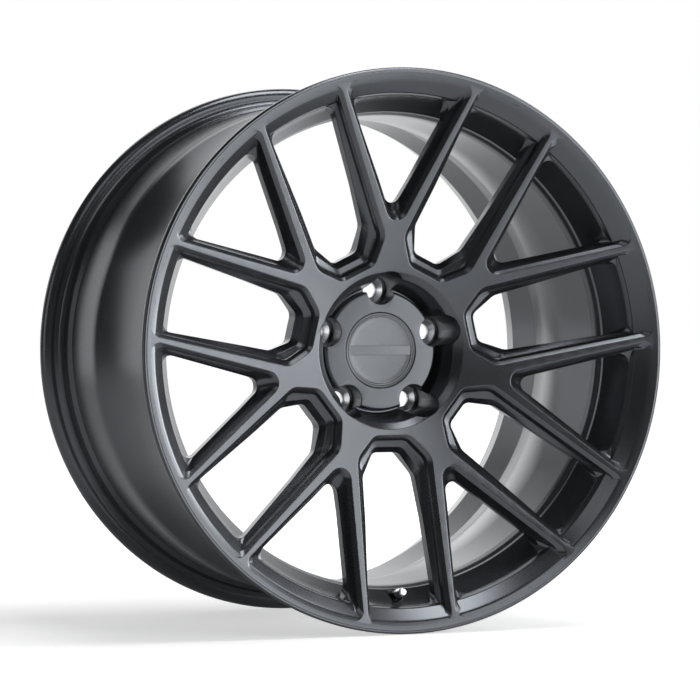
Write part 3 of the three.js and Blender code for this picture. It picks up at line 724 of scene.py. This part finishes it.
WIRE = 0.8
ring_centre = (clip_inner - CLEARANCE - WIRE, CAP_SEAT + 13)
cap_ring = to_object("centre_cap_wire", spin_section(arc(ring_centre, WIRE, 0, 330, 11), 96, FRONT))
finish_piece(cap_ring, "centre_cap", "centre_cap_spring_ring", spring_steel)

# %% [markdown]
# ## Valve
# The valve is clamped through the rim wall at a slant. Its pieces are spun about their own axis and
# then laid along the valve's.

# %% Valve sizes
STEM = 3.85
STEM_TOP = 27.4
AIRWAY = 1.9
FOOT_RADIUS = 7.6
FOOT = 2
GROMMET = 2.5
WASHER = 1
CORE_WELL = 2.6
CORE_RADIUS = CORE_WELL - CLEARANCE
PIN = 0.6
PIN_HEAD = 1.2
SEAL = 1.5
THREAD_PITCH = 1.2
THREAD_START = 16.4
ring_bore = STEM + CLEARANCE
foot_top = -VALVE_WALL - CLEARANCE - GROMMET - CLEARANCE
nut_base = CLEARANCE + WASHER + CLEARANCE
core_top = STEM_TOP - 1
core_base = core_top - 12
threads = []
for k in range(9):
    low = THREAD_START + k * THREAD_PITCH
    threads += [(STEM - 0.25, low), (STEM, low + THREAD_PITCH / 2)]


def valve_piece(name, section, body, node, material, steps=48):
    piece = to_object(name, spin_section(section, steps, segments=3), valve_place)
    finish_piece(piece, body, node, material)
    return piece


# %% Stem and its clamp
valve_piece("valve_stem_turned", [
    (AIRWAY, foot_top - FOOT, 0.2), (FOOT_RADIUS, foot_top - FOOT, 0.5), (FOOT_RADIUS, foot_top, 0.3),
    (STEM, foot_top), (STEM, 16), *threads, (STEM - 0.4, STEM_TOP), (CORE_WELL, STEM_TOP),
    (CORE_WELL, core_base - CLEARANCE), (AIRWAY, core_base - 1 - CLEARANCE),
], "wheel", "valve_stem", black_anodised)
valve_piece("valve_grommet_ring", [
    (ring_bore, foot_top + CLEARANCE, 0.3), (7.2, foot_top + CLEARANCE, 0.5),
    (7.2, -VALVE_WALL - CLEARANCE, 0.3), (ring_bore, -VALVE_WALL - CLEARANCE, 0.3),
], "wheel", "valve_grommet", rubber)
valve_piece("valve_washer_ring", [
    (ring_bore, CLEARANCE, 0.1), (5.8, CLEARANCE, 0.2), (5.8, CLEARANCE + WASHER, 0.2),
    (ring_bore, CLEARANCE + WASHER, 0.1),
], "wheel", "valve_washer", black_anodised)

# %% Valve core
valve_piece("valve_core_barrel", [
    (0.9, core_base, 0.1), (1.7, core_base, 0.2), (CORE_RADIUS, core_base + 1, 0.2),
    (CORE_RADIUS, core_top, 0.1), (AIRWAY, core_top, 0.1), (AIRWAY, core_top - 6, 0.1),
    (0.9, core_top - 6, 0.1),
], "wheel", "valve_core_body", brass)
pin_top = core_top + 0.5
seal_top = core_base - CLEARANCE
plate_top = seal_top - SEAL - CLEARANCE
valve_piece("valve_core_plunger", [
    (0, plate_top - 0.8), (1.5, plate_top - 0.8, 0.2), (1.5, plate_top, 0.2), (PIN, plate_top),
    (PIN, pin_top - PIN_HEAD), (1.6, pin_top - PIN_HEAD, 0.1), (1.6, pin_top, 0.3), (0, pin_top),
], "valve_core_pin", "valve_core_pin", brass)
valve_piece("valve_core_washer", [
    (PIN + CLEARANCE, seal_top - SEAL, 0.2), (1.5, seal_top - SEAL, 0.2), (1.5, seal_top, 0.2),
    (PIN + CLEARANCE, seal_top, 0.2),
], "valve_core_pin", "valve_core_seal", rubber)

# %% Dust cap
cap_ceiling = STEM_TOP + 1.4
cap_crown = cap_ceiling + 1.9
valve_piece("valve_cap_shell", [
    (ring_bore, 18.4, 0.2), (4.7, 18.4, 0.2), (4.7, 19.6, 0.2), (4.4, 20, 0.2),
    (4.4, cap_crown - 1.6, 0.5), (3.6, cap_crown - 0.3, 0.5), (2.9, cap_crown, 0.3), (0, cap_crown),
    (0, cap_ceiling), (ring_bore, cap_ceiling, 0.3),
], "valve_cap", "valve_cap", bright_metal)
valve_piece("valve_cap_ring", [
    (2.2, STEM_TOP + CLEARANCE, 0.2), (STEM, STEM_TOP + CLEARANCE, 0.2),
    (STEM, cap_ceiling - CLEARANCE, 0.2), (2.2, cap_ceiling - CLEARANCE, 0.2),
], "valve_cap", "valve_cap_seal", rubber)

# %% [markdown]
# The nut is a hexagon: a cone with six sides gives its prism, and a bevel gives its worn corners.

# %% Nut
NUT_RADIUS = 5.8
NUT_HEIGHT = 4.5
bm = bmesh.new()
bmesh.ops.create_cone(bm, cap_ends=True, segments=6, radius1=NUT_RADIUS * MM,
                      radius2=NUT_RADIUS * MM, depth=NUT_HEIGHT * MM)
bmesh.ops.bevel(bm, geom=bm.edges[:], offset=0.35 * MM, segments=3, affect="EDGES", profile=0.5,
                material=-1)
bmesh.ops.rotate(bm, cent=(0, 0, 0), matrix=Matrix.Rotation(math.pi / 2, 3, "X"), verts=bm.verts)
bmesh.ops.translate(bm, vec=(0, (nut_base + NUT_HEIGHT / 2) * MM, 0), verts=bm.verts)
nut = to_object("valve_nut_hexagon", bm, valve_place)
hole_section = [(0, 0), (ring_bore, 0), (ring_bore, 8), (0, 8)]
hole = to_object("nut_hole", spin_section(hole_section, 48), valve_place)
cut_or_join(nut, "DIFFERENCE", hole)
discard([hole])
finish_piece(nut, "wheel", "valve_nut", black_anodised)

# %% [markdown]
# The core's spring is a wire circle spun along a screw: the spin operator turns and lifts it at once.

# %% Core spring
bm = bmesh.new()
bmesh.ops.create_circle(bm, segments=10, radius=0.25 * MM)
bmesh.ops.translate(bm, vec=(1.25 * MM, 0, 0), verts=bm.verts)
TURNS = 5
STEPS = 120
low = core_top - 6 + 0.55
high = pin_top - 2 * PIN_HEAD - 0.55
bmesh.ops.spin(bm, geom=bm.verts[:] + bm.edges[:], cent=(0, 0, 0), axis=(0, 0, 1),
               dvec=(0, 0, (high - low) * MM / STEPS), angle=2 * math.pi * TURNS, steps=STEPS)
bmesh.ops.rotate(bm, cent=(0, 0, 0), matrix=Matrix.Rotation(-math.pi / 2, 3, "X"), verts=bm.verts)
bmesh.ops.translate(bm, vec=(0, low * MM, 0), verts=bm.verts)
spring = to_object("valve_core_coil", bm, valve_place)
finish_piece(spring, "wheel", "valve_core_spring", spring_steel)

# %% [markdown]
# ## Floor, light and camera
# A pale floor takes the wheel's shadow. Only the camera and reflections see the floor's glow and the
# white sky, so they add no plain light. The floor's glow for the camera is weaker near the wheel,
# a painted shade around it beside its real shadow. Reflections see the white backdrop behind the
# wheel and to its right, and a painted light on the floor's right side that only reflections see,
# because a black coat shows its shape by contrast.

# %% Floor
bm = bmesh.new()
bmesh.ops.create_grid(bm, x_segments=1, y_segments=1, size=40)
floor = to_object("floor", bm, Matrix.Translation((0, 0, -LIP_RADIUS * MM - 0.0002)))
floor_material = bpy.data.materials.new("pale_floor")
floor_material.use_nodes = True
tree = floor_material.node_tree
pale = tree.nodes["Principled BSDF"]
pale.inputs["Base Color"].default_value = (0.8, 0.8, 0.8, 1)
pale.inputs["Roughness"].default_value = 0.9
pale.inputs["Specular IOR Level"].default_value = 0.1
ray = add_node(tree, "LightPath")
place = add_node(tree, "TexCoord").outputs["Object"]
distance = add_node(tree, "VectorMath", {"operation": "LENGTH"}, wires={0: place})
# The floor's glow for the camera dims to 0.55 near the wheel: painted shade around the wheel.
glow_with_painted_shade_near_wheel = mapped(tree, distance.outputs["Value"], 0.35, 1.1, 0.55, 1.0, "SMOOTHSTEP")
straight = add_node(tree, "Math", {"operation": "ADD"},
                    wires={0: ray.outputs["Is Camera Ray"], 1: ray.outputs["Is Transmission Ray"]})
seen = add_node(tree, "Math", {"operation": "MULTIPLY"},
                wires={0: straight.outputs["Value"], 1: glow_with_painted_shade_near_wheel})
sides = add_node(tree, "SeparateXYZ", wires={"Vector": place})
# Painted light: for reflections only, the floor glows on its right side, where the lamps stand.
painted_light_right_side = mapped(tree, sides.outputs["X"], 0.2, 0.8, 0.05, 1.0, "SMOOTHSTEP")
strength = add_node(tree, "Math", {"operation": "MULTIPLY_ADD"},
                    wires={0: ray.outputs["Is Glossy Ray"], 1: painted_light_right_side, 2: seen.outputs["Value"]})
glow = add_node(tree, "Emission", (), {"Color": (1, 1, 1, 1)}, {"Strength": strength.outputs["Value"]})
both = add_node(tree, "AddShader", wires={0: pale.outputs["BSDF"], 1: glow.outputs["Emission"]})
tree.links.new(both.outputs["Shader"], tree.nodes["Material Output"].inputs["Surface"])
floor.data.materials.append(floor_material)

# %% Sky
BACKDROP_SIDE = (0.6, 0.8, 0)
world = bpy.data.worlds.new("studio")
bpy.context.scene.world = world
world.use_nodes = True
tree = world.node_tree
ray = add_node(tree, "LightPath")
direction = add_node(tree, "TexCoord").outputs["Generated"]
behind = add_node(tree, "VectorMath", {"operation": "DOT_PRODUCT"}, {1: BACKDROP_SIDE}, {0: direction})
backdrop = mapped(tree, behind.outputs["Value"], 0.5, 0.95, easing="SMOOTHSTEP")
reflected = add_node(tree, "Math", {"operation": "MULTIPLY_ADD"},
                     wires={0: ray.outputs["Is Glossy Ray"], 1: backdrop, 2: ray.outputs["Is Camera Ray"]})
white = add_node(tree, "Math", {"operation": "ADD"},
                 wires={0: reflected.outputs["Value"], 1: ray.outputs["Is Transmission Ray"]})
level = mapped(tree, white.outputs["Value"], 0.0, 1.0, 0.05, 1.0)
background = tree.nodes["Background"]
background.inputs["Color"].default_value = (1, 1, 1, 1)
tree.links.new(level, background.inputs["Strength"])

# %% [markdown]
# The brightest lamps stand to the right. Weaker ones in front, above and behind keep the other
# surfaces from going dark. Each is given by the way round the wheel that it shines from.

# %% Lamps
def soft_lamp(name, place, aim, size, power):
    lamp = bpy.data.lights.new(name, "AREA")
    lamp.shape = "RECTANGLE"
    lamp.size, lamp.size_y = size
    lamp.energy = power
    obj = bpy.data.objects.new(name, lamp)
    bpy.context.scene.collection.objects.link(obj)
    obj.location = place
    obj.visible_camera = False
    obj.rotation_euler = (Vector(aim) - Vector(place)).to_track_quat("-Z", "Y").to_euler()


def around(azimuth, elevation, distance=3.2):
    """A place around the wheel. Azimuth 0 is in front of its face, and 90 is on its right."""
    turn, tilt = math.radians(azimuth), math.radians(elevation)
    return (distance * math.sin(turn) * math.cos(tilt), -distance * math.cos(turn) * math.cos(tilt),
            distance * math.sin(tilt))


soft_lamp("right_side", around(84, 6), (0, 0, 0), (1.3, 1.8), 46)
soft_lamp("right_window", around(66, 6), (0, 0, 0), (1.3, 1.8), 30)
soft_lamp("right_top", around(84, 38), (0, 0, 0), (1.4, 1.2), 16)
soft_lamp("front_right", around(36, 2), (0, 0, 0), (1.5, 2.4), 26)
soft_lamp("front_top", around(14, 28), (0, 0, 0), (1.4, 1.2), 8)
soft_lamp("front_left", around(-40, 42), (0, 0, 0), (1.4, 1.2), 4)
soft_lamp("overhead", around(60, 75), (0, 0, 0), (1.5, 1.5), 36)
soft_lamp("left_side", around(-92, 10), (0, 0, 0), (1.2, 1.6), 4)
soft_lamp("back_left", around(-152, 8), (0, 0, 0), (1.3, 1.6), 5)
soft_lamp("back", around(175, 10), (0, 0, 0), (1.6, 1.4), 5)
soft_lamp("back_top", around(178, 42), (0, 0, 0), (1.6, 1.2), 6)

# %% [markdown]
# The camera is far away with a long lens, a little to the left of the wheel's axis and almost level
# with it.

# %% Camera
VIEW_AZIMUTH, VIEW_ELEVATION = math.radians(-24.1186), math.radians(0.439)
CAMERA_DISTANCE = 3.1307
AIM_LEFT, AIM_UP = 0.0578, 0.0008
away = Vector((math.sin(VIEW_AZIMUTH) * math.cos(VIEW_ELEVATION),
               -math.cos(VIEW_AZIMUTH) * math.cos(VIEW_ELEVATION), math.sin(VIEW_ELEVATION)))
face_centre = Vector((0, FRONT * MM, 0))
across = Vector((math.cos(VIEW_AZIMUTH), math.sin(VIEW_AZIMUTH), 0))
camera_data = bpy.data.cameras.new("camera")
camera_data.lens = 166.64
camera_data.sensor_width = 36
camera = bpy.data.objects.new("camera", camera_data)
bpy.context.scene.collection.objects.link(camera)
camera.location = face_centre + away * CAMERA_DISTANCE
aim = face_centre - across * AIM_LEFT + Vector((0, 0, AIM_UP))
camera.rotation_euler = (aim - camera.location).to_track_quat("-Z", "Y").to_euler()
bpy.context.scene.camera = camera
bpy.context.scene.view_settings.view_transform = "Standard"

# %% Tidy up: the cutters' collection goes
bpy.data.collections.remove(cutters)
